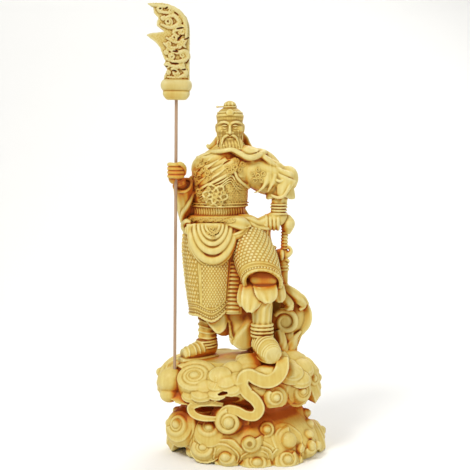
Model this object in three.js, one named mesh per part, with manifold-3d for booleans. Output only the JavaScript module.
// A carved boxwood general on a two-tier cloud base, holding a crescent-bladed polearm.
// Millimetres, +Z up, the front towards -Y, the origin at the centre of the underside.
// The figure and its clouds are one carving. The polearm is a thin dowel, set in a hole in the
// clouds and passed up through the fist, with a carved blade head socketed on its upper end.

import * as THREE from "three";
import { mergeVertices } from "three/addons/utils/BufferGeometryUtils.js";
import Module from "manifold-3d";

const wasm = await Module();
wasm.setup();

// Driving sizes of the carving
const FIGURE_HEIGHT = 172; // from the rear sole to the top of the hair knot
const BASE_HEIGHT = 64; // from the table to the rear sole
const BASE_WIDTH = 104;
const BASE_DEPTH = 74;

// Driving sizes of the polearm
const SHAFT_DIAMETER = 2;
const SHAFT_LEAN = 0.65; // degrees to the side, the blade end towards +X
const FIT_GAP = 0.3; // left all round between the dowel and the wood that holds it
const FOOT_SOCKET_DEPTH = 9;
const HEAD_SOCKET_DEPTH = 8;
const HAND_TO_COLLAR = 45; // bare dowel and upper half of the fist, below the blade head
const LOWER_ROLL = { width: 17, depth: 12, height: 5 };
const UPPER_ROLL = { width: 20, depth: 14, height: 9 };
const BLADE_HEIGHT = 49;
const BLADE_WIDTH = 17; // at its root, just above the rolls
const BLADE_THICKNESS = 6;

// How finely the carving is faceted
const FIGURE_FACETS = 8500;
const BLADE_FACETS = 950;

// The figure keeps its pose as shares of its height: it is laid out 172 units tall
const FIGURE_UNITS = 172;
const figureScale = FIGURE_HEIGHT / FIGURE_UNITS;
const GRIP = [-42.2, -18, 127]; // centre of the raised fist, in figure units

const UP = new THREE.Vector3(0, 0, 1);
const point = (x, y, z) => new THREE.Vector3(x, y, z);
const points = (rows) => rows.map((row) => point(...row));
const range = (n) => Array.from({ length: n }, (_, k) => k);
const radians = THREE.MathUtils.degToRad;
const mix = THREE.MathUtils.lerp;

// A list of numbers or rows read at t from 0 to 1, evenly spread
function sample(list, t) {
  if (list.length === 1) return list[0];
  const place = THREE.MathUtils.clamp(t, 0, 1) * (list.length - 1);
  const k = Math.min(Math.floor(place), list.length - 2);
  const blend = (a, b) => mix(a, b, place - k);
  return Array.isArray(list[k]) ? list[k].map((a, i) => blend(a, list[k + 1][i])) : blend(list[k], list[k + 1]);
}

// Rows that start with a key, read between the two whose keys hold the value
function lookUp(rows, key) {
  const last = rows.length - 1;
  const rising = rows[last][0] > rows[0][0] ? rows : [...rows].reverse();
  const k = Math.max(0, Math.min(last - 1, rising.findIndex((row) => row[0] >= key) - 1));
  const [low, high] = key > rising[last][0] ? [rising[last], rising[last]] : [rising[k], rising[k + 1]];
  const t = high === low ? 0 : THREE.MathUtils.clamp((key - low[0]) / (high[0] - low[0]), 0, 1);
  return low.slice(1).map((a, i) => mix(a, high[i + 1], t));
}

// One closed body as a solid, turned outwards if it was skinned inside out
function solid(vertices, faces, place) {
  const geometry = new THREE.BufferGeometry().setFromPoints(vertices).setIndex(faces.flat());
  if (place) geometry.applyMatrix4(place);
  const merged = mergeVertices(geometry, 1e-4);
  const at = (i) => new THREE.Vector3().fromBufferAttribute(merged.attributes.position, i);
  const triangles = range(merged.index.count / 3)
    .map((k) => [0, 1, 2].map((i) => merged.index.getX(3 * k + i)))
    .filter(([a, b, c]) => a !== b && b !== c && c !== a);
  const volume = triangles.reduce((sum, [a, b, c]) => sum + at(a).dot(at(b).cross(at(c))), 0);
  const outward = volume > 0 ? triangles : triangles.map(([a, b, c]) => [a, c, b]);
  return new wasm.Manifold(
    new wasm.Mesh({
      numProp: 3,
      vertProperties: merged.attributes.position.array,
      triVerts: new Uint32Array(outward.flat()),
    }),
  );
}

const middle = (ring) => ring.reduce((sum, p) => sum.add(p), point(0, 0, 0)).divideScalar(ring.length);

// Rings of equal count joined into one skin, with each end closed on a point, or end to end in a hoop
function skin(rings, { first = middle(rings[0]), last = middle(rings.at(-1)), hoop = false, place } = {}) {
  const around = rings[0].length;
  const vertices = [...rings.flat(), ...(hoop ? [] : [first, last])];
  const faces = [];
  range(hoop ? rings.length : rings.length - 1).forEach((k) =>
    range(around).forEach((i) => {
      const j = (i + 1) % around;
      const next = (k + 1) % rings.length;
      const [a, b, c, d] = [k * around + i, k * around + j, next * around + j, next * around + i];
      faces.push([a, b, c], [a, c, d]);
    }),
  );
  if (hoop) return solid(vertices, faces, place);
  const top = (rings.length - 1) * around;
  range(around).forEach((i) => {
    const j = (i + 1) % around;
    faces.push([j, i, top + around], [top + i, top + j, top + around + 1]);
  });
  return solid(vertices, faces, place);
}

// Two matching grids of points, the front and the back of a sheet, closed round their edges
function slab(front, back, place) {
  const rows = front.length;
  const columns = front[0].length;
  const vertices = [...front.flat(), ...back.flat()];
  const behind = rows * columns;
  const faces = [];
  const quad = (a, b, c, d) => faces.push([a, b, c], [a, c, d]);
  range(rows - 1).forEach((r) =>
    range(columns - 1).forEach((c) => {
      const k = r * columns + c;
      quad(k, k + 1, k + columns + 1, k + columns);
      quad(behind + k, behind + k + columns, behind + k + columns + 1, behind + k + 1);
    }),
  );
  const rim = [
    ...range(columns - 1),
    ...range(rows - 1).map((r) => r * columns + columns - 1),
    ...range(columns - 1).map((c) => rows * columns - 1 - c),
    ...range(rows - 1).map((r) => (rows - 1 - r) * columns),
  ];
  rim.forEach((a, k) => {
    const b = rim[(k + 1) % rim.length];
    quad(a, behind + a, behind + b, b);
  });
  return solid(vertices, faces, place);
}

// A sheet from a function of (u, v), each 0 to 1, thickened along its own normal
function sheet(at, { across = 8, down = 6, thick = 2.4, place } = {}) {
  const step = 0.01;
  const grid = (side) =>
    range(down + 1).map((r) =>
      range(across + 1).map((c) => {
        const [u, v] = [c / across, r / down];
        const alongU = at(u + step, v).sub(at(u - step, v));
        const alongV = at(u, v + step).sub(at(u, v - step));
        return at(u, v).addScaledVector(alongU.cross(alongV).normalize(), (side * thick) / 2);
      }),
    );
  return slab(grid(-1), grid(1), place);
}

// A limb, roll or strand along a smooth path; wide and tall scale its section across and upwards
function tube(path, radii, options = {}) {
  const { sides = 8, steps = 2 * path.length, wide = 1, tall = 1, up = UP, hoop = false, place } = options;
  const curve = new THREE.CatmullRomCurve3(points(path), hoop);
  const rings = range(hoop ? steps : steps + 1).map((k) => {
    const t = k / steps;
    const ahead = curve.getTangent(t);
    const side = new THREE.Vector3().crossVectors(up, ahead).normalize();
    const rise = new THREE.Vector3().crossVectors(ahead, side);
    const radius = sample(radii, t);
    return range(sides).map((i) => {
      const angle = (2 * Math.PI * (i + 0.5)) / sides;
      return curve
        .getPoint(t)
        .addScaledVector(side, wide * radius * Math.cos(angle))
        .addScaledVector(rise, tall * radius * Math.sin(angle));
    });
  });
  return skin(rings, { hoop, place });
}

// A rounded lump with its own three radii
function ball(centre, radii, { sides = 9, bands = 6, place } = {}) {
  const at = (across, up) =>
    point(
      centre[0] + radii[0] * Math.sin(up) * Math.cos(across),
      centre[1] + radii[1] * Math.sin(up) * Math.sin(across),
      centre[2] + radii[2] * Math.cos(up),
    );
  const rings = range(bands - 1).map((k) =>
    range(sides).map((i) => at((2 * Math.PI * i) / sides, (Math.PI * (k + 1)) / bands)),
  );
  return skin(rings, { first: at(0, 0), last: at(0, Math.PI), place });
}

// A wall of elliptical sections, from rows of height, centre x, centre y, half width, half depth.
// It is read by degrees from the front, towards +X, by height, and by how far out from the wall.
function wall(rows) {
  return (degrees, height, out = 0) => {
    const [x, y, halfWidth, halfDepth] = lookUp(rows, height);
    const angle = radians(degrees);
    return point(x + (halfWidth + out) * Math.sin(angle), y - (halfDepth + out) * Math.cos(angle), height);
  };
}

// A solid filled to a wall between two heights
function filled(at, heights, { sides = 16, out = 0, place } = {}) {
  const rings = heights.map((height) => range(sides).map((i) => at((360 * i) / sides, height, out)));
  return skin(rings, { place });
}

// A raised band on a wall, along a path of degrees and heights
function band(at, path, { width = 4, rise = 1.4, sink = 1.5, steps = 3 * path.length, hoop = false, place } = {}) {
  const route = new THREE.CatmullRomCurve3(points(path.map(([degrees, height]) => [degrees, height, 0])), hoop);
  const on = (t, out) => {
    const { x, y } = route.getPoint(t);
    return at(x, y, out);
  };
  const rings = range(hoop ? steps : steps + 1).map((k) => {
    const t = k / steps;
    const normal = on(t, 1).sub(on(t, 0)).normalize();
    const ahead = on(Math.min(t + 0.01, 1), 0).sub(on(Math.max(t - 0.01, 0), 0)).normalize();
    const side = new THREE.Vector3().crossVectors(normal, ahead).normalize();
    const corner = (across, out) => on(t, out).addScaledVector(side, (across * width) / 2);
    return [corner(-1, -sink), corner(-0.7, rise), corner(0.7, rise), corner(1, -sink)];
  });
  return skin(rings, { hoop, place });
}

// A raised band all the way round a wall at one height
function girdle(at, height, { width, rise, sink = 3, place }) {
  const rings = range(18).map((k) =>
    [
      [-0.5, -sink],
      [-0.35, rise],
      [0.35, rise],
      [0.5, -sink],
    ].map(([up, out]) => at(20 * k, height + up * width, out)),
  );
  return skin(rings, { hoop: true, place });
}

// A cloud scroll: a disc with a raised rolled rim that winds inwards to a ball at its eye
function scroll(centre, facing, radius, { deep = 0.9, stretch = 1, wind = 1, sides = 12 } = {}) {
  const out = facing.clone().normalize();
  const side = new THREE.Vector3().crossVectors(UP, out).normalize();
  const rise = new THREE.Vector3().crossVectors(out, side);
  const rows = [
    [1.3, -deep],
    [1.14, -0.24],
    [0.98, 0.1],
    [0.78, 0.2],
    [0.56, 0.02],
    [0.34, 0.08],
    [0.22, 0.34],
  ];
  const rings = rows.map(([share, height], row) =>
    range(sides).map((i) => {
      const turn = i / sides;
      const angle = 2 * Math.PI * turn * wind;
      const drawnIn = row < 2 || row > 5 ? 1 : 1.08 - 0.26 * turn;
      const reach = radius * share * drawnIn;
      return centre
        .clone()
        .addScaledVector(side, reach * Math.cos(angle) * stretch)
        .addScaledVector(rise, reach * Math.sin(angle))
        .addScaledVector(out, radius * height);
    }),
  );
  return skin(rings, {
    first: centre.clone().addScaledVector(out, -deep * radius),
    last: centre.clone().addScaledVector(out, 0.42 * radius),
  });
}

const joined = (solids) => solids.reduce((whole, piece) => whole.add(piece));

// The outer shell alone: spaces closed in between overlapping forms are solid wood
function outerShell(triangles, count) {
  const parent = range(count);
  const root = (i) => {
    while (parent[i] !== i) i = parent[i] = parent[parent[i]];
    return i;
  };
  for (let k = 0; k < triangles.length; k += 3) {
    parent[root(triangles[k])] = root(triangles[k + 1]);
    parent[root(triangles[k + 1])] = root(triangles[k + 2]);
  }
  const sizes = new Map();
  triangles.forEach((i) => sizes.set(root(i), (sizes.get(root(i)) ?? 0) + 1));
  const largest = [...sizes].sort((a, b) => b[1] - a[1])[0][0];
  return triangles.filter((_, n) => root(triangles[n - (n % 3)]) === largest);
}

// The plane through a face as the ten sums of its squared distance, weighed by the face's breadth
function planeSums(a, b, c) {
  const across = b.clone().sub(a).cross(c.clone().sub(a));
  const area = across.length() || 1e-12;
  const [x, y, z] = across.divideScalar(area).toArray();
  const d = -(x * a.x + y * a.y + z * a.z);
  const products = [x * x, x * y, x * z, x * d, y * y, y * z, y * d, z * z, z * d, d * d];
  return products.map((value) => value * Math.sqrt(area));
}

function distanceSum(q, { x, y, z }) {
  const square = q[0] * x * x + q[4] * y * y + q[7] * z * z + q[9];
  return square + 2 * (q[1] * x * y + q[2] * x * z + q[3] * x + q[5] * y * z + q[6] * y + q[8] * z);
}

// The same solid in fewer facets: edges close up, the flattest first, until it is down to the budget.
// Edges shorter than a hair close up in any case.
function thinned(whole, budget = Infinity) {
  const hair = 0.02;
  const { vertProperties, triVerts } = whole.getMesh();
  const corners = range(vertProperties.length / 3).map((i) => point(...vertProperties.subarray(3 * i, 3 * i + 3)));
  const outer = outerShell(triVerts, corners.length);
  const faces = range(outer.length / 3).map((k) => Array.from(outer.subarray(3 * k, 3 * k + 3)));
  const touching = corners.map(() => new Set());
  const sums = corners.map(() => new Array(10).fill(0));
  faces.forEach((face, k) => {
    const plane = planeSums(...face.map((i) => corners[i]));
    face.forEach((i) => {
      touching[i].add(k);
      plane.forEach((value, n) => (sums[i][n] += value));
    });
  });
  const neighbours = (i) => new Set([...touching[i]].flatMap((k) => faces[k]).filter((j) => j !== i));
  const normalOf = (face, from, to) => {
    const [a, b, c] = face.map((i) => (i === from ? to : corners[i]));
    return b.clone().sub(a).cross(c.clone().sub(a));
  };
  const staysTrue = (i, gone, target, least) =>
    [...touching[i]].every((k) => {
      if (gone.includes(k)) return true;
      const before = normalOf(faces[k]);
      const after = normalOf(faces[k], i, target);
      return after.length() > least && before.dot(after) > 0.35 * before.length() * after.length();
    });
  const edgeOf = (i, j) => {
    const span = corners[i].distanceTo(corners[j]);
    const sum = sums[i].map((value, m) => value + sums[j][m]);
    const [cost, target] = [corners[i], corners[j], corners[i].clone().lerp(corners[j], 0.5)]
      .map((at) => [distanceSum(sum, at), at])
      .sort((a, b) => a[0] - b[0])[0];
    return { i, j, span, sum, target, cost: span < hair ? -1 : cost + 1e-4 * span * span };
  };
  let live = faces.length;
  for (let before = Infinity; live < before; ) {
    before = live;
    const edges = faces
      .filter(Boolean)
      .flatMap((face) => face.map((i, n) => [i, face[(n + 1) % 3]]))
      .filter(([i, j]) => i < j && (live > budget || corners[i].distanceTo(corners[j]) < hair))
      .map(([i, j]) => edgeOf(i, j))
      .sort((a, b) => a.cost - b.cost);
    const used = new Set();
    for (const { i, j, span, sum, target } of edges.slice(0, Math.ceil(edges.length / 5))) {
      if (live <= budget && span >= hair) break;
      const [ringI, ringJ] = [neighbours(i), neighbours(j)];
      const gone = [...touching[i]].filter((k) => touching[j].has(k));
      const shared = [...ringI].filter((k) => ringJ.has(k));
      if (used.has(i) || used.has(j) || gone.length !== 2 || shared.length !== 2) continue;
      const least = span < hair ? 1e-7 : 0.004;
      if (!staysTrue(i, gone, target, least) || !staysTrue(j, gone, target, least)) continue;
      gone.forEach((k) => {
        faces[k].forEach((n) => touching[n].delete(k));
        faces[k] = null;
      });
      touching[j].forEach((k) => {
        faces[k] = faces[k].map((n) => (n === j ? i : n));
        touching[i].add(k);
      });
      touching[j].clear();
      corners[i] = target.clone();
      sums[i] = sum;
      [i, j, ...ringI, ...ringJ].forEach((n) => used.add(n));
      live -= 2;
    }
  }
  const kept = faces.filter(Boolean);
  const names = new Map();
  kept.flat().forEach((i) => names.has(i) || names.set(i, names.size));
  return solid([...names.keys()].map((i) => corners[i]), kept.map((face) => face.map((i) => names.get(i))));
}

function meshOf(name, whole, material) {
  const { vertProperties, triVerts } = whole.getMesh();
  const outer = outerShell(triVerts, vertProperties.length / 3);
  const geometry = new THREE.BufferGeometry()
    .setAttribute("position", new THREE.BufferAttribute(vertProperties, 3))
    .setIndex(new THREE.BufferAttribute(outer, 1));
  const flat = geometry.toNonIndexed();
  flat.computeVertexNormals();
  const mesh = new THREE.Mesh(flat, material);
  mesh.name = name;
  return mesh;
}

// The figure stands on the clouds: its units become millimetres here
const place = new THREE.Matrix4()
  .makeTranslation(0, 0, BASE_HEIGHT)
  .multiply(new THREE.Matrix4().makeScale(figureScale, figureScale, figureScale));

const torsoWall = wall([
  [90, -15, 1, 18.5, 14],
  [97, -15.5, 1, 17, 13],
  [104, -14.2, 0.5, 18, 14.5],
  [114, -13.8, 0, 18.6, 15.5],
  [122, -12.6, 0, 18.2, 15],
  [129, -9.8, 0.5, 18.8, 13.5],
  [134, -7.6, 1, 18.5, 11.5],
  [138.5, -7.2, 1.5, 13.5, 9],
  [142, -7.2, 1.5, 8.5, 7.5],
  [147, -7.3, 0.5, 6, 6],
]);

function torso() {
  const chest = filled(torsoWall, [90, 97, 104, 114, 122, 129, 134, 138.5, 142, 147], { place });
  const robeBands = [
    [[8, 135], [-22, 127], [-52, 123.5], [-88, 122], [-120, 124]],
    [[20, 131], [-8, 123], [-40, 118.5], [-78, 116], [-110, 117]],
    [[24, 126], [2, 119], [-28, 114.5], [-66, 111], [-100, 109]],
  ].map((path) => band(torsoWall, path, { width: 5.4, rise: 1.5, sink: 2.5, steps: 9, place }));
  const plateEdge = band(torsoWall, [[18, 127], [40, 119], [62, 113], [80, 110]], { width: 2.6, steps: 6, place });
  const roundel = band(
    torsoWall,
    range(10).map((k) => [-10 + 34 * Math.cos((2 * Math.PI * k) / 10), 107.5 + 7 * Math.sin((2 * Math.PI * k) / 10)]),
    { width: 2.4, rise: 1.2, steps: 14, hoop: true, place },
  );
  const belt = [
    [94.8, 3.6, 2.2],
    [91, 2.8, 1.6],
  ].map(([height, width, rise]) => girdle(torsoWall, height, { width, rise, place }));
  return [chest, ...robeBands, plateEdge, roundel, ...belt];
}

// The cloth laid round the neck, its lower edge dipping over the left breast
function mantle() {
  const hem = [
    [-180, 130],
    [-120, 133],
    [-75, 137.5],
    [-40, 139.2],
    [-5, 139.6],
    [20, 135.6],
    [42, 133.2],
    [64, 136],
    [90, 137],
    [130, 133],
    [180, 130],
  ];
  const hemAt = (degrees) => lookUp(hem, degrees)[0];
  const cloth = (u, v) => {
    const degrees = -180 + 360 * u;
    return torsoWall(degrees, mix(145.5, hemAt(degrees), v), 1.6 + 1.2 * v);
  };
  const rim = band(
    (degrees, height, out) => torsoWall(degrees, height, out + 1.6),
    hem.slice(2, 9).map(([degrees, height]) => [degrees, height + 0.6]),
    { width: 3, rise: 2.2, sink: 3, steps: 14, place },
  );
  const shoulderEdge = tube([[13, -3, 139], [18.5, -3.5, 135], [23.5, -2, 129.5], [26.5, -1, 126]], [1.6, 2.2, 2.2, 1.4], {
    sides: 6,
    steps: 5,
    place,
  });
  const wrap = filled(
    (degrees, share, out) => cloth((((degrees + 180) % 360) + 360) % 360 / 360, share).addScaledVector(UP, out),
    [0, 0.5, 1],
    { sides: 20, place },
  );
  return [wrap, rim, shoulderEdge];
}

const HEAD = [-7.3, -2.5, 155];
const fromHead = ([x, y, z]) => [HEAD[0] + x, HEAD[1] + y, HEAD[2] + z];

function head() {
  const lump = (centre, radii, options = {}) => ball(fromHead(centre), radii, { place, ...options });
  const skull = lump([0, 0, 0], [8.5, 9.3, 11], { sides: 12, bands: 8 });
  const cap = lump([0, 0.8, 5.8], [8.8, 9.6, 7.4], { sides: 12, bands: 6 });
  const brim = tube(
    range(12).map((k) => {
      const angle = (2 * Math.PI * k) / 12;
      return fromHead([8.4 * Math.sin(angle), 0.6 - 9.4 * Math.cos(angle), 6 + 0.9 * Math.cos(angle)]);
    }),
    [1.1],
    { sides: 6, steps: 14, tall: 1.5, hoop: true, place },
  );
  const knot = lump([0, -0.5, 13.6], [3.7, 3.7, 3.4], { sides: 8, bands: 5 });
  const knotTie = lump([0, -0.5, 11.4], [4.6, 4.4, 1.7], { sides: 8, bands: 4 });
  const pin = tube([fromHead([-7.6, -0.5, 13.2]), fromHead([5.6, -0.5, 13]), fromHead([7, -0.5, 13])], [0.6], {
    sides: 5,
    steps: 2,
    place,
  });
  const features = [-1, 1].flatMap((side) => [
    lump([side * 8.7, 0.6, -1.5], [1.3, 2, 3], { sides: 6, bands: 4 }),
    lump([side * 3.3, -8.3, 2.4], [3, 1.4, 0.9], { sides: 6, bands: 4 }),
    lump([side * 3.2, -7.6, 0.2], [1.9, 1.5, 1.2], { sides: 6, bands: 4 }),
    lump([side * 4, -7, -4], [3.3, 2.4, 3], { sides: 6, bands: 4 }),
  ]);
  const nose = tube(
    [fromHead([0, -8.6, 1.8]), fromHead([0, -9.8, -1]), fromHead([0, -11, -3.6]), fromHead([0, -9.4, -4.8])],
    [0.9, 1.1, 1.7, 0.9],
    { sides: 6, steps: 4, place },
  );
  const lips = lump([0, -8.9, -7.3], [2.1, 1.3, 0.9], { sides: 6, bands: 4 });
  return [skull, cap, brim, knot, knotTie, pin, ...features, nose, lips];
}

// The long beard and the drooping moustache, in separate locks
function beard() {
  const mass = tube(
    [fromHead([0, -6.6, -6]), fromHead([0, -8.6, -11]), fromHead([0.2, -11, -16]), fromHead([1, -12.6, -20])],
    [6.6, 6.8, 5.6, 3],
    { sides: 10, steps: 5, wide: 1.15, tall: 0.55, up: point(0, -1, 0), place },
  );
  const locks = range(7).map((k) => {
    const across = (k - 3) / 3;
    const drop = 19.5 - 3 * across * across;
    return tube(
      [
        fromHead([6.4 * across, -8.2 + 2.6 * across * across, -8]),
        fromHead([6.6 * across, -11 + 2 * across * across, -13]),
        fromHead([5 * across + 0.8, -14 + 1.4 * across * across, -drop]),
      ],
      [1.1, 1.5, 0.5],
      { sides: 5, steps: 3, place },
    );
  });
  const sideLocks = [-1, 1].map((side) =>
    tube(
      [fromHead([side * 8, -3, -1]), fromHead([side * 7.8, -4.4, -7]), fromHead([side * 6.8, -6.4, -13.5])],
      [1.2, 2.4, 1.6],
      { sides: 6, steps: 3, place },
    ),
  );
  const moustache = [-1, 1].map((side) =>
    tube(
      [fromHead([side * 0.4, -10.4, -5.6]), fromHead([side * 3.4, -10, -6.4]), fromHead([side * 5.4, -9.6, -11])],
      [0.7, 1.2, 0.5],
      { sides: 5, steps: 3, place },
    ),
  );
  const capTails = [
    tube([[-14, 4, 149], [-18, 2, 143.5], [-21.5, 0, 141.2], [-23.8, -1, 143.4]], [1.8, 2.2, 1.8, 1], {
      sides: 6,
      steps: 5,
      place,
    }),
    tube([[1, 4, 150], [3.2, 2, 145], [5.4, 0, 141.5]], [1.6, 2, 1.4], { sides: 6, steps: 3, place }),
  ];
  return [mass, ...locks, ...sideLocks, ...moustache, ...capTails];
}

// Fingers closed round a bar: arcs about a centre in the plane of two directions, stacked along it
function fingers(centre, along, toward, offsets, reach, thick) {
  const across = new THREE.Vector3().crossVectors(along, toward).normalize();
  return offsets.map((offset) => {
    const path = range(6).map((k) => {
      const angle = radians(mix(-125, 125, k / 5));
      return point(...centre)
        .addScaledVector(along, offset)
        .addScaledVector(toward, reach * Math.cos(angle))
        .addScaledVector(across, reach * Math.sin(angle))
        .toArray();
    });
    return tube(path, [thick * 0.8, thick, thick * 0.8], { sides: 6, steps: 6, up: along, place });
  });
}

function rightArm() {
  const upper = tube(
    [[-21, 2, 131], [-24, 2, 119], [-28.5, 3, 107], [-33.5, 4.5, 97], [-37.4, 5, 90]],
    [9.5, 9, 8, 6.4, 3.6],
    { sides: 9, steps: 6, place },
  );
  const fore = tube([[-36, 5, 93], [-37.6, -2, 102], [-38.4, -9, 112], [-40, -14.5, 121]], [4.6, 4.4, 4, 3.6], {
    steps: 4,
    place,
  });
  const cuff = tube([[-37.2, -4, 107], [-37.8, -8, 112.5], [-37.9, -11, 117]], [4.6, 5.8, 6.6], { steps: 3, place });
  const sleeveEdge = tube([[-31, -8, 112], [-34.4, -8, 104], [-38, -5, 98], [-37, -1, 90]], [1.2, 1.6, 1.7, 1], {
    sides: 6,
    steps: 5,
    place,
  });
  const palm = ball([GRIP[0] + 1.2, GRIP[1] + 1, GRIP[2] - 0.4], [4.8, 4.6, 5.6], { sides: 10, place });
  const heel = ball([GRIP[0] - 1.6, GRIP[1] + 2, GRIP[2] - 5.6], [3.6, 3.4, 3.6], { sides: 8, bands: 5, place });
  const thumb = tube(
    [
      [GRIP[0] + 4.6, GRIP[1] + 2, GRIP[2] - 1.5],
      [GRIP[0] + 5, GRIP[1] - 1.4, GRIP[2] + 2.4],
      [GRIP[0] + 2.2, GRIP[1] - 4.6, GRIP[2] + 4.6],
    ],
    [1.7, 1.7, 1.2],
    { sides: 6, steps: 3, place },
  );
  const curled = fingers(GRIP, UP, point(-0.5, -1, 0).normalize(), [3.9, 1.4, -1.1, -3.5], 4.5, 1.5);
  return [upper, fore, cuff, sleeveEdge, palm, heel, thumb, ...curled];
}

function leftArm() {
  const sleeve = tube(
    [[0, 1, 129], [10, 1, 126], [18.5, 0.5, 122], [26.5, 2, 118.8], [32, 3, 118.6], [36, 3.5, 118.4]],
    [9, 11.8, 12, 9.6, 8.4, 4],
    { sides: 12, steps: 8, wide: 0.86, place },
  );
  const cuff = skin(
    [
      [119, 7.5, 6],
      [113, 9, 7.2],
      [108.6, 9.6, 7.8],
    ].map(([height, halfWidth, halfDepth]) =>
      range(12).map((i) => {
        const angle = (2 * Math.PI * i) / 12;
        const sag = height < 110 ? 1.2 * Math.sin(3 * angle) : 0;
        return point(26 + halfWidth * Math.cos(angle), -0.5 + halfDepth * Math.sin(angle), height + sag);
      }),
    ),
    { last: point(26, -0.5, 112), place },
  );
  const fold = tube([[33.5, -4, 122], [31.5, -6.6, 115], [30, -7, 109.5]], [1.2, 1.8, 1.2], {
    sides: 5,
    steps: 3,
    place,
  });
  const fore = tube([[26, -1, 114], [25.2, -2.6, 104], [24.2, -4, 96]], [6, 5.2, 4.4], { steps: 4, place });
  const wristRings = [101.5, 98].map((height) =>
    filled(wall([[height - 1, 24.6, -3.5, 4.9, 4.9], [height + 1, 24.6, -3.5, 4.9, 4.9]]), [height - 1, height + 1], {
      sides: 10,
      place,
    }),
  );
  const palm = ball([22, -4, 94], [7.6, 5.4, 4.8], { sides: 10, place });
  const curled = fingers([20.6, -4.6, 92], point(1, 0, 0), point(0, -1, 0), [-3.6, -1.2, 1.2, 3.6], 4.2, 1.4);
  return [sleeve, cuff, fold, fore, ...wristRings, palm, ...curled];
}

// The sheathed sword that the left hand rests on
function sword() {
  const pommel = skin(
    [
      [97, 1.4],
      [92.5, 4.8],
      [88.5, 4.4],
      [84, 1.8],
    ].map(([height, half]) =>
      range(6).map((i) => point(31 + half * Math.cos((Math.PI * i) / 3), -1 + half * Math.sin((Math.PI * i) / 3), height)),
    ),
    { place },
  );
  const grip = tube([[29.4, -0.6, 90], [29, 0, 82], [28.6, 0.4, 72]], [2, 1.9, 2.2], { sides: 7, steps: 3, place });
  const guard = ball([27, 0, 70.6], [6, 4.2, 4], { sides: 9, bands: 5, place });
  const horns = [-1, 1].map((side) =>
    tube([[27, -1, 70], [27 + side * 4.6, -1.6, 71], [27 + side * 5.6, -1, 74.4]], [2.2, 1.6, 0.7], {
      sides: 5,
      steps: 3,
      place,
    }),
  );
  const collar = filled(wall([[59.6, 28.3, 0.6, 3.7, 3.2], [64.4, 28.3, 0.6, 3.2, 2.8]]), [59.6, 62, 64.4], {
    sides: 10,
    place,
  });
  const neck = tube([[28, 0, 68], [28.3, 0.5, 62]], [3, 2.8], { steps: 1, place });
  const sheath = tube([[28.3, 0.6, 62], [28.3, 1.4, 50], [28.2, 2.6, 34]], [3.2, 3, 2.8], { steps: 3, tall: 0.8, place });
  return [pommel, grip, guard, ...horns, collar, neck, sheath];
}

// Cloth drawn from the waist to the left hand and falling behind it
function swag() {
  const drawn = tube([[-2, -8, 92], [5, -9, 92.6], [11, -7.6, 90.6], [17, -5, 92.4], [20, -4, 92.4]], [5, 4.8, 4.4, 5, 4], {
    steps: 6,
    wide: 0.6,
    place,
  });
  const fall = tube([[14, -3, 92], [15.4, -3, 83], [17.6, -2, 75], [22, 0, 70.6], [27, 1, 70]], [5.4, 4.4, 4.4, 3, 2], {
    steps: 6,
    wide: 0.8,
    place,
  });
  return [drawn, fall];
}

const skirtWall = wall([
  [24, -19.3, -1, 12, 12],
  [32, -19.5, -1, 12.6, 12.6],
  [44, -19.5, -1, 14.2, 13.6],
  [58, -19.3, -0.5, 16, 15],
  [74, -19, 0, 17.6, 16],
  [86, -17.5, 0.5, 18.2, 15.6],
  [94, -16, 1, 17.4, 13.6],
]);

function rightSkirt() {
  const hem = [
    [-160, 26],
    [-90, 30],
    [-58, 30.4],
    [-36, 30.6],
    [3, 27],
    [30, 32],
    [62, 38],
  ];
  const hemAt = (degrees) => lookUp(hem, degrees)[0];
  const panel = sheet(
    (u, v) => {
      const degrees = mix(-160, 62, u);
      return skirtWall(degrees, mix(92, hemAt(degrees), v), 1);
    },
    { across: 14, down: 6, thick: 2.6, place },
  );
  const hemBand = band(
    (degrees, height, out) => skirtWall(degrees, height, out + 2.2),
    range(9).map((k) => {
      const degrees = mix(-120, 58, k / 8);
      return [degrees, hemAt(degrees) + 2.6];
    }),
    { width: 5, rise: 0.9, sink: 1.5, steps: 12, place },
  );
  const sideBand = band((degrees, height, out) => skirtWall(degrees, height, out + 2.2), [[-52, 84], [-50, 60], [-46, 34]], {
    width: 3,
    rise: 0.8,
    steps: 5,
    place,
  });
  const core = filled(skirtWall, [36, 44, 58, 74, 86, 91], { sides: 14, out: -0.6, place });
  return [panel, hemBand, sideBand, core];
}

// The apron below the belt: nested rolls of cloth hanging in a U
function apron() {
  const [x0, z0, halfWidth, halfHeight] = [-18.6, 84.6, 15.6, 17.4];
  const pad = ball([x0, -10.6, z0], [halfWidth, 7.4, halfHeight], { sides: 14, bands: 8, place });
  const rolls = [
    [5.2, 4.6, 1.2],
    [8.6, 8.8, 1.5],
    [11.8, 13.8, 1.9],
    [14.4, 19, 2.2],
  ].map(([half, drop, thick]) =>
    tube(
      range(9).map((k) => {
        const angle = radians(mix(-88, 88, k / 8));
        const [x, z] = [x0 + half * Math.sin(angle), 89 - drop * Math.cos(angle)];
        const dome = 1 - ((x - x0) / halfWidth) ** 2 - ((z - z0) / halfHeight) ** 2;
        return [x, -10.8 - 7.2 * Math.sqrt(Math.max(dome, 0.05)), z];
      }),
      [0.7 * thick, thick, thick, thick, 0.7 * thick],
      { sides: 6, steps: 12, up: point(0, -1, 0), place },
    ),
  );
  const sash = tube([[-9, -14.4, 91.6], [-2, -15, 92], [3.4, -12.4, 90.4], [1, -14, 86], [-6, -15.4, 84]], [2.4, 4, 3.6, 2.6, 1], {
    steps: 7,
    wide: 0.7,
    place,
  });
  const hipKnot = [
    ball([-32.5, -6, 92.6], [3.6, 3.4, 3.6], { sides: 8, bands: 5, place }),
    tube([[-30, -8, 93], [-34.6, -6.5, 90.5], [-32, -8.5, 86.8], [-28, -10, 86.6]], [2, 1.9, 1.6, 1], {
      sides: 6,
      steps: 5,
      place,
    }),
  ];
  return [pad, ...rolls, sash, ...hipKnot];
}

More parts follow.
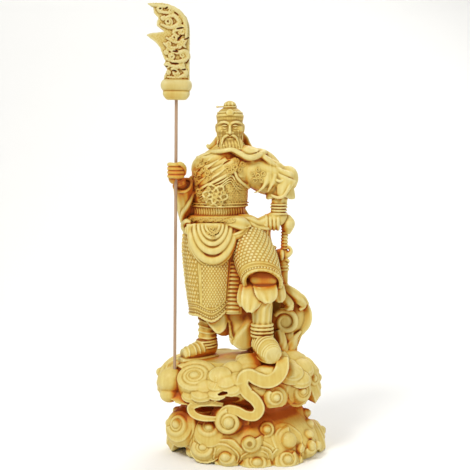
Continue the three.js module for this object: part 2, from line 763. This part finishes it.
// The raised left thigh, the plated skirt over it and the knee
const THIGH_TOP = point(4.5, -1, 84);
const THIGH_END = point(13, -20, 57.5);
const THIGH_OUT = point(0, -0.86, 0.51);

function thighSkirt(u, v, out) {
  const angle = radians(mix(-112, 118, u));
  const reach = v * (1 + 0.13 * (1 - Math.cos(angle)));
  const half = lookUp([[0, 11, 12], [0.5, 13.2, 12.6], [1, 12, 11], [1.4, 11.6, 10.6]], reach);
  return THIGH_TOP.clone()
    .lerp(THIGH_END, reach)
    .addScaledVector(point(1, 0, 0), (half[0] + out) * Math.sin(angle))
    .addScaledVector(THIGH_OUT, (half[1] + out) * Math.cos(angle));
}

function leftThigh() {
  const panel = sheet((u, v) => thighSkirt(u, v, 0), { across: 12, down: 6, thick: 2.6, place });
  const hem = tube(
    range(9).map((k) => thighSkirt(mix(0.04, 0.96, k / 8), 0.97, 0.6).toArray()),
    [1.8],
    { sides: 6, steps: 12, place },
  );
  const core = tube([[2, 2, 84], [7, -7, 72], [11, -15, 62], [13, -18, 57]], [11, 10.6, 9.6, 8.4], {
    sides: 10,
    steps: 5,
    place,
  });
  const knee = ball([13.4, -19.4, 53.4], [8.2, 7.4, 8], { sides: 10, place });
  return [panel, hem, core, knee];
}

// Folded flaps of trouser cloth gathered under the knee, above the greave
function kneeFlaps() {
  const flap = (top, tip, half, spread) =>
    sheet(
      (u, v) => {
        const across = 2 * u - 1;
        const width = half * mix(1, spread, v) * Math.sqrt(1.08 - Math.max(0, 1.6 * v - 0.6) ** 2);
        const down = v - 0.1 * across * across * v;
        const middleLine = point(...top).lerp(point(...tip), down);
        return middleLine.add(point(across * width, 1.6 * across * across - 1.2 * Math.sin(Math.PI * v), 0));
      },
      { across: 5, down: 4, thick: 2.2, place },
    );
  return [
    flap([9.5, -22.6, 53], [4.8, -25.6, 36.6], 5.4, 1.1),
    flap([15.4, -25, 53.4], [17.4, -27, 42.4], 5.6, 1.15),
    flap([21, -18, 52], [24, -17, 41], 5, 1),
    flap([5.6, -16, 52], [1.6, -17, 41], 5, 1),
  ];
}

function legs() {
  const leftShin = tube([[13.6, -18, 50], [13.5, -17.6, 36], [13.7, -17, 25], [14, -16.6, 15]], [7, 6.6, 6.2, 6.8], {
    sides: 10,
    steps: 5,
    place,
  });
  const leftBands = [25.6, 21.4].map((height) =>
    filled(wall([[height - 1.4, 13.8, -17, 7.5, 7.4], [height + 1.4, 13.8, -17, 7.3, 7.2]]), [height - 1.4, height + 1.4], {
      sides: 12,
      place,
    }),
  );
  const leftBoot = tube(
    [[13, -8.6, 9], [14, -15, 13], [16, -23, 12], [19, -31.4, 9.6], [21.6, -36, 8.6]],
    [5.4, 7.2, 7.2, 6.6, 4],
    { sides: 10, steps: 7, place },
  );
  const leftSole = tube([[12.4, -7, 5], [16, -21, 4.6], [22, -37.4, 3.6]], [5.8, 7, 5.4], {
    sides: 8,
    steps: 4,
    tall: 0.32,
    place,
  });
  const rightShin = tube([[-22, 0, 44], [-22.4, 0, 26], [-22.8, 0, 9]], [6.4, 5.6, 5.9], { sides: 10, steps: 4, place });
  const rightBoot = tube(
    [[-18.4, 3, 6], [-23, 0, 8], [-29, -6, 6.6], [-35, -10.6, 5.8], [-39.4, -13.6, 5.4]],
    [5, 6.2, 5.4, 5, 3.6],
    { sides: 10, steps: 7, place },
  );
  const rightSole = tube([[-17.6, 4, 0.6], [-27, -4, 0.4], [-39.4, -13.8, 0.6]], [5, 5.8, 4.4], {
    sides: 8,
    steps: 4,
    tall: 0.34,
    place,
  });
  return [leftShin, ...leftBands, leftBoot, leftSole, rightShin, rightBoot, rightSole];
}

// The robe that hangs between and behind the legs, in pointed and rounded laps
function robe() {
  const hips = filled(
    wall([
      [38, -9, 3, 15, 8],
      [56, -6, 2, 19, 12],
      [72, -5, 1, 20.5, 13.5],
      [84, -8, 1, 21.5, 14],
      [93, -13, 1, 19, 13.5],
    ]),
    [38, 56, 72, 84, 93],
    { sides: 14, place },
  );
  const lap = (top, tip, half, lift) =>
    sheet(
      (u, v) => {
        const across = 2 * u - 1;
        const width = half * Math.sqrt(Math.max(1.06 - v * v * 0.86, 0.02));
        const fall = point(...top).lerp(point(...tip), v - 0.16 * v * across * across);
        return fall.add(point(across * width, lift * Math.cos(2.4 * across + 4 * v), 0));
      },
      { across: 6, down: 4, thick: 2.6, place },
    );
  const pleats = range(12).map((k) =>
    tube([[-8.2, -12.4, 67.5 - 3.1 * k], [-4.6, -14.6, 67 - 3.1 * k], [-0.6, -12.6, 66.4 - 3.1 * k]], [1, 1.4, 1], {
      sides: 5,
      steps: 2,
      place,
    }),
  );
  const strip = sheet((u, v) => point(mix(-10, 1, u), -11 - 1.4 * Math.sin(Math.PI * u), mix(76, 31, v)), {
    across: 3,
    down: 3,
    thick: 3,
    place,
  });
  return [
    hips,
    strip,
    ...pleats,
    lap([-19, -7, 44], [-14.4, -7, 17], 8, 1.2),
    lap([-9, -4, 44], [-8.4, -3, 12], 6.4, -1.4),
    lap([1, -5, 46], [2, -3.4, 5.6], 8, 1.6),
  ];
}

// The cloak behind, from the shoulders to the clouds
function cloak() {
  const rows = [
    [138, -20, 6, 8],
    [128, -26, 8, 13],
    [116, -28, 3, 15.5],
    [103, -29, 1, 16],
    [92, -30, 7, 16.5],
    [78, -31, 17, 16],
    [60, -31, 25, 15],
    [44, -29, 35, 13],
    [30, -26, 43, 11],
    [16, -21, 41, 10],
    [0, -18, 34, 9],
  ];
  const back = sheet(
    (u, v) => {
      const low = mix(17, 0, THREE.MathUtils.smoothstep(u, 0.25, 0.5));
      const height = mix(138, low, v);
      const [left, right, depth] = lookUp(rows, height);
      const folds = 1.8 * v * Math.cos(2 * Math.PI * 4.5 * u);
      const wrapRound = 9 * (2 * u - 1) ** 2 * (1 - 0.5 * v);
      return point(mix(left, right, u), depth - wrapRound + folds, height);
    },
    { across: 18, down: 9, thick: 3, place },
  );
  return [back];
}

// The end of the cloak blown round to the left of the figure, with its rolled folds
function blownCloth() {
  const outline = [
    [48, 24, 31],
    [44, 24, 38.5],
    [38, 24, 44],
    [30, 24, 47.4],
    [22, 24, 45.8],
    [16, 22, 41],
    [10, 20, 36],
    [0, 18, 33],
  ];
  const sail = sheet(
    (u, v) => {
      const height = mix(48, 0, v);
      const [inner, outer] = lookUp(outline, height);
      return point(mix(inner, outer, u), 8 - 9 * Math.sin(Math.PI * Math.min(u, 0.75)) * Math.sin(Math.PI * v) - 3 * u, height);
    },
    { across: 6, down: 9, thick: 3.4, place },
  );
  const rolls = [
    tube([[27, -2, 49], [33, -6, 45.4], [38.6, -6, 40], [41.4, -3, 36]], [2, 3.4, 3.4, 1.6], { sides: 7, steps: 5, place }),
    tube([[24, -4, 47], [28, -7.6, 42], [31, -8, 36], [26, -8, 33]], [1.6, 3, 3, 2], { sides: 7, steps: 5, place }),
    tube(
      range(9).map((k) => {
        const angle = radians(150 - 48 * k);
        const reach = mix(8, 2.4, k / 8);
        return [30 + reach * Math.cos(angle), -5 + 0.3 * k, 26.6 + reach * Math.sin(angle)];
      }),
      [1.8, 2.2, 1.8, 1.4],
      { sides: 6, steps: 14, up: point(0, -1, 0), place },
    ),
    tube([[25, -4, 22], [27, -6, 12], [26.6, -7, 2]], [3, 3.8, 4], { sides: 7, steps: 3, place }),
  ];
  return [sail, ...rolls];
}

// The base: height as a share of its own, then centre and half sizes as shares of half its width and depth
const cloudRows = [
  [0, 0.19, 0, 0.8, 0.86],
  [0.1, 0.12, 0, 0.9, 0.98],
  [0.28, 0.04, 0, 0.9, 0.94],
  [0.42, 0, 0.02, 0.8, 0.8],
  [0.52, -0.02, 0.04, 0.7, 0.68],
  [0.6, -0.02, 0, 0.78, 0.76],
  [0.72, -0.02, -0.02, 0.92, 0.92],
  [0.86, -0.02, 0, 0.94, 0.9],
  [0.96, -0.02, 0.02, 0.86, 0.8],
  [1.02, -0.02, 0.04, 0.7, 0.62],
].map(([height, x, y, halfWidth, halfDepth]) => [
  height * BASE_HEIGHT,
  (x * BASE_WIDTH) / 2,
  (y * BASE_DEPTH) / 2,
  (halfWidth * BASE_WIDTH) / 2,
  (halfDepth * BASE_DEPTH) / 2,
]);
const cloudWall = wall(cloudRows);
const cloudUnit = BASE_HEIGHT / 64;

// A scroll on the base, by degrees from the front, height share, radius, and how far it looks up
function cloudScroll(degrees, share, radius, lookUpward = 0, options = {}) {
  const centre = cloudWall(degrees, share * BASE_HEIGHT, 0.12 * radius);
  const facing = point(Math.sin(radians(degrees)), -Math.cos(radians(degrees)), lookUpward);
  return scroll(centre, facing, radius * cloudUnit, options);
}

function cloudLump(degrees, share, radii) {
  return ball(cloudWall(degrees, share * BASE_HEIGHT).toArray(), radii, { sides: 8, bands: 5 });
}

// A rolled bank of cloud that runs along the base
function cloudBank(path, radii) {
  const route = path.map(([degrees, share, out = 0]) => cloudWall(degrees, share * BASE_HEIGHT, out).toArray());
  return tube(route, radii, { sides: 7, steps: 3 * path.length });
}

function clouds() {
  const core = filled(
    cloudWall,
    cloudRows.map(([height]) => height),
    { sides: 20 },
  );
  const frontScrolls = [
    [-62, 0.33, 8.2, 0.1],
    [-27, 0.36, 7.6, 0, { wind: -1 }],
    [-9, 0.43, 8.6, 0.1],
    [22, 0.37, 5.4, 0],
    [4, 0.26, 8, 0, { wind: -1 }],
    [4, 0.09, 7.4, 0.3],
    [28, 0.07, 8.2, 0.2, { wind: -1 }],
    [40, 0.25, 7, 0.2],
    [-18, 0.12, 6.8, 0.2, { wind: -1 }],
    [-40, 0.19, 8, 0.2],
    [64, 0.13, 7.2, 0.1],
    [76, 0.3, 6, 0.1, { wind: -1 }],
    [31, 0.68, 6.4, 0.05],
    [67, 0.68, 7.4, 0.1, { wind: -1 }],
    [-37, 0.84, 10.4, 0.9, { stretch: 1.25, wind: -1 }],
    [-19, 0.8, 5, 0.5],
  ].map((row) => cloudScroll(...row));
  const backScrolls = range(5).flatMap((k) => [
    cloudScroll(106 + 36 * k, 0.75 + 0.07 * (k % 2), 10, 0.3, { sides: 8, wind: k % 2 ? 1 : -1 }),
    cloudScroll(98 + 39 * k, 0.18 + 0.08 * (k % 2), 10.6, 0.1, { sides: 8, wind: k % 2 ? -1 : 1 }),
  ]);
  const banks = [
    cloudBank([[-84, 0.7], [-60, 0.7, 1], [-34, 0.66, 1], [-12, 0.63, 1], [6, 0.64]], [3, 4, 3.4, 2.6, 1.4]),
    cloudBank([[-56, 0.94, -2], [-34, 0.96, 0], [-16, 0.92, 1], [-4, 0.84, 1]], [3, 4, 3.4, 2]),
    cloudBank([[-40, 0.72, 1.6], [-22, 0.71, 2], [-6, 0.74, 1.6], [6, 0.8]], [2, 2.6, 2.4, 1.4]),
    cloudBank([[40, 0.98, -4], [46, 0.9, 1], [47, 0.78, 2.4], [45, 0.7, 1]], [4, 5.4, 4.6, 2.6]),
    cloudBank([[74, 0.97, -6], [68, 0.9, -1], [64, 0.8, 0]], [5, 6, 4]),
    cloudBank([[52, 0.42, 0], [66, 0.36, 2], [86, 0.3, 1]], [3, 4.6, 3]),
    cloudBank([[-76, 0.44, -1], [-52, 0.5, 0], [-28, 0.53, 1]], [3, 4.4, 3]),
  ];
  const lumps = [
    cloudLump(-86, 0.23, [6, 6, 5.4]),
    cloudLump(-80, 0.4, [5, 6, 5]),
    cloudLump(82, 0.82, [6.4, 8, 6]),
  ];
  return [core, ...frontScrolls, ...backScrolls, ...banks, ...lumps];
}

// The broad cloud tail that winds down the front from under the forward boot
function cloudTail() {
  const route = [
    [26, 68],
    [27, 60],
    [22, 54.4],
    [14, 54.6],
    [7, 59.4],
    [0.6, 58.4],
    [-1, 52],
    [3, 46.4],
    [9, 43.6],
    [13, 38.6],
    [10.6, 33.6],
    [4, 34],
    [-3, 38],
    [-9, 37.6],
    [-12.6, 34],
  ];
  return tube(
    route.map(([x, z], k) => [x, -0.95 * (BASE_DEPTH / 2) - 3 * Math.sin((Math.PI * k) / 14), z * cloudUnit]),
    [3.4, 3.6, 3.6, 3.2, 2.2],
    { sides: 7, steps: 30, up: point(0, -1, 0), wide: 1.05, tall: 0.8 },
  );
}

// The dowel's own frame: upright at the origin, then leaned and set through the fist
const grip = point(...GRIP).applyMatrix4(place);
const collarFoot = grip.z + HAND_TO_COLLAR;
const shaftFoot = BASE_HEIGHT - 5 - FOOT_SOCKET_DEPTH;
const shaftTop = collarFoot + HEAD_SOCKET_DEPTH;
const shaftPlace = new THREE.Matrix4()
  .makeTranslation(grip.x, grip.y, grip.z)
  .multiply(new THREE.Matrix4().makeRotationY(radians(SHAFT_LEAN)))
  .multiply(new THREE.Matrix4().makeTranslation(0, 0, -grip.z));

function rod(radius, low, high, sides) {
  const rings = [low, high].map((z) =>
    range(sides).map((i) => {
      const angle = (2 * Math.PI * i) / sides;
      return point(radius * Math.cos(angle), radius * Math.sin(angle), z);
    }),
  );
  return skin(rings, { place: shaftPlace });
}

const shaftSpace = (low, high) => rod(SHAFT_DIAMETER / 2 + FIT_GAP, low, high, 10);

// The puff of cloud at the left that the dowel's foot is set in
function footLobe() {
  const foot = point(0, 0, shaftFoot).applyMatrix4(shaftPlace);
  const wall = FOOT_SOCKET_DEPTH;
  return [
    ball([foot.x - 2.4, foot.y + 1.6, foot.z + 0.3 * wall], [9.4, 8.4, 4.4 + 0.5 * wall], { sides: 12, bands: 7 }),
    ball([foot.x + 5, foot.y + 7, foot.z - 1], [9, 9, 7.4], { sides: 9 }),
  ];
}

// A cushion-shaped roll, as wide, deep and tall as stated, standing on the height given
function cushion({ width, depth, height }, foot) {
  const sides = 16;
  const rings = [
    [0, 0.78],
    [0.2, 0.95],
    [0.5, 1],
    [0.8, 0.95],
    [1, 0.78],
  ].map(([rise, share]) =>
    range(sides).map((i) => {
      const angle = (2 * Math.PI * i) / sides;
      const square = (value) => Math.sign(value) * Math.sqrt(Math.abs(value));
      const [c, s] = [square(Math.cos(angle)), square(Math.sin(angle))];
      return point(0.5 * (width - height * (1 - share)) * c, 0.5 * (depth - height * (1 - share)) * s, foot + rise * height);
    }),
  );
  return skin(rings, { place: shaftPlace });
}

// The crescent blade's outline, across from the dowel's line and up from its root, as shares
const BLADE_OUTLINE = [
  [-0.48, 0],
  [-0.48, 0.06],
  [-0.36, 0.14],
  [-0.5, 0.2],
  [-0.43, 0.25],
  [-0.51, 0.3],
  [-0.62, 0.41],
  [-0.78, 0.48],
  [-1.17, 0.58],
  [-1.0, 0.61],
  [-0.5, 0.63],
  [-0.76, 0.7],
  [-0.76, 0.75],
  [-0.7, 0.8],
  [-0.86, 0.86],
  [-0.9, 0.93],
  [-1.17, 0.99],
  [-0.88, 1.0],
  [-0.55, 1.0],
  [-0.3, 0.985],
  [-0.05, 0.955],
  [0.21, 0.89],
  [0.4, 0.81],
  [0.49, 0.72],
  [0.51, 0.62],
  [0.51, 0],
];

function bladeHead() {
  const foot = collarFoot + FIT_GAP;
  const lower = cushion(LOWER_ROLL, foot);
  const upper = cushion(UPPER_ROLL, foot + LOWER_ROLL.height - 0.6);
  const root = foot + LOWER_ROLL.height + UPPER_ROLL.height - 1.6;
  const outline = new THREE.Shape(
    BLADE_OUTLINE.map(([x, z]) => new THREE.Vector2(x * BLADE_WIDTH, z * BLADE_HEIGHT)),
  );
  const bevel = 1.1;
  const flat = new THREE.ExtrudeGeometry(outline, {
    depth: BLADE_THICKNESS - 2 * bevel,
    bevelThickness: bevel,
    bevelSize: bevel,
    bevelOffset: -bevel,
    bevelSegments: 1,
    steps: 1,
  });
  flat.translate(0, 0, bevel - BLADE_THICKNESS / 2).rotateX(Math.PI / 2).translate(0, 0, root);
  flat.applyMatrix4(shaftPlace);
  flat.deleteAttribute("normal").deleteAttribute("uv");
  const body = mergeVertices(flat, 1e-4);
  const vertices = range(body.attributes.position.count).map((i) => point(0, 0, 0).fromBufferAttribute(body.attributes.position, i));
  const faces = range(body.index.count / 3).map((k) => [0, 1, 2].map((i) => body.index.getX(3 * k + i)));
  const blade = solid(vertices, faces);
  const ridge = (side, path, radii) =>
    tube(
      path.map(([x, z]) => [x * BLADE_WIDTH, side * (BLADE_THICKNESS / 2), root + z * BLADE_HEIGHT]),
      radii,
      { sides: 6, steps: 3 * path.length, up: point(0, side, 0), place: shaftPlace },
    );
  const carving = [-1, 1].flatMap((side) => [
    ridge(side, [[-0.3, 0.04], [0.2, 0.03], [0.36, 0.1], [0.16, 0.17], [-0.2, 0.14]], [1, 1.5, 1.4, 0.8]),
    ridge(side, [[-0.4, 0.28], [0, 0.24], [0.4, 0.28], [0.34, 0.37], [0, 0.36], [-0.36, 0.42]], [0.9, 1.5, 1.4, 0.8]),
    ridge(side, [[0.36, 0.42], [0.16, 0.48], [-0.1, 0.5], [-0.5, 0.56], [-0.9, 0.575]], [1.2, 1.4, 1.2, 0.6]),
    ridge(side, [[0.36, 0.5], [0.34, 0.66], [0.26, 0.8], [0, 0.9], [-0.4, 0.945], [-0.9, 0.96]], [1.2, 1.4, 1.3, 0.6]),
    ridge(side, [[-0.56, 0.72], [-0.2, 0.68], [0.1, 0.74], [-0.1, 0.83], [-0.44, 0.8]], [0.8, 1.4, 1.3, 0.8]),
  ]);
  const head = thinned(joined([lower, upper, blade, ...carving]), BLADE_FACETS);
  return thinned(head.subtract(shaftSpace(foot - 2, shaftTop + FIT_GAP)));
}

const carving = joined([
  ...torso(),
  ...mantle(),
  ...head(),
  ...beard(),
  ...rightArm(),
  ...leftArm(),
  ...sword(),
  ...swag(),
  ...apron(),
  ...rightSkirt(),
  ...leftThigh(),
  ...kneeFlaps(),
  ...legs(),
  ...robe(),
  ...cloak(),
  ...blownCloth(),
  ...clouds(),
  ...footLobe(),
  cloudTail(),
]);

// The underside is cut flat where the clouds meet the table
const table = solid(
  points([-1, 1].flatMap((x) => [-1, 1].flatMap((y) => [-1, 0].map((z) => [x * BASE_WIDTH, y * BASE_DEPTH, z * BASE_HEIGHT])))),
  [
    [0, 1, 3], [0, 3, 2], [4, 6, 7], [4, 7, 5], [0, 4, 5], [0, 5, 1],
    [2, 3, 7], [2, 7, 6], [0, 2, 6], [0, 6, 4], [1, 5, 7], [1, 7, 3],
  ],
);

const boxwood = new THREE.MeshStandardMaterial({ color: 0xe2c379, roughness: 0.55, metalness: 0 });
const paleWood = new THREE.MeshStandardMaterial({ color: 0xb89a78, roughness: 0.6, metalness: 0 });

const figure = thinned(carving.subtract(table), FIGURE_FACETS);

const statue = new THREE.Group();
statue.add(
  meshOf(
    "figure_on_clouds",
    thinned(figure.subtract(shaftSpace(shaftFoot - FIT_GAP, shaftTop))),
    boxwood,
  ),
  meshOf("polearm_shaft", rod(SHAFT_DIAMETER / 2, shaftFoot, shaftTop, 10), paleWood),
  meshOf("polearm_blade", bladeHead(), boxwood),
);

export default statue;
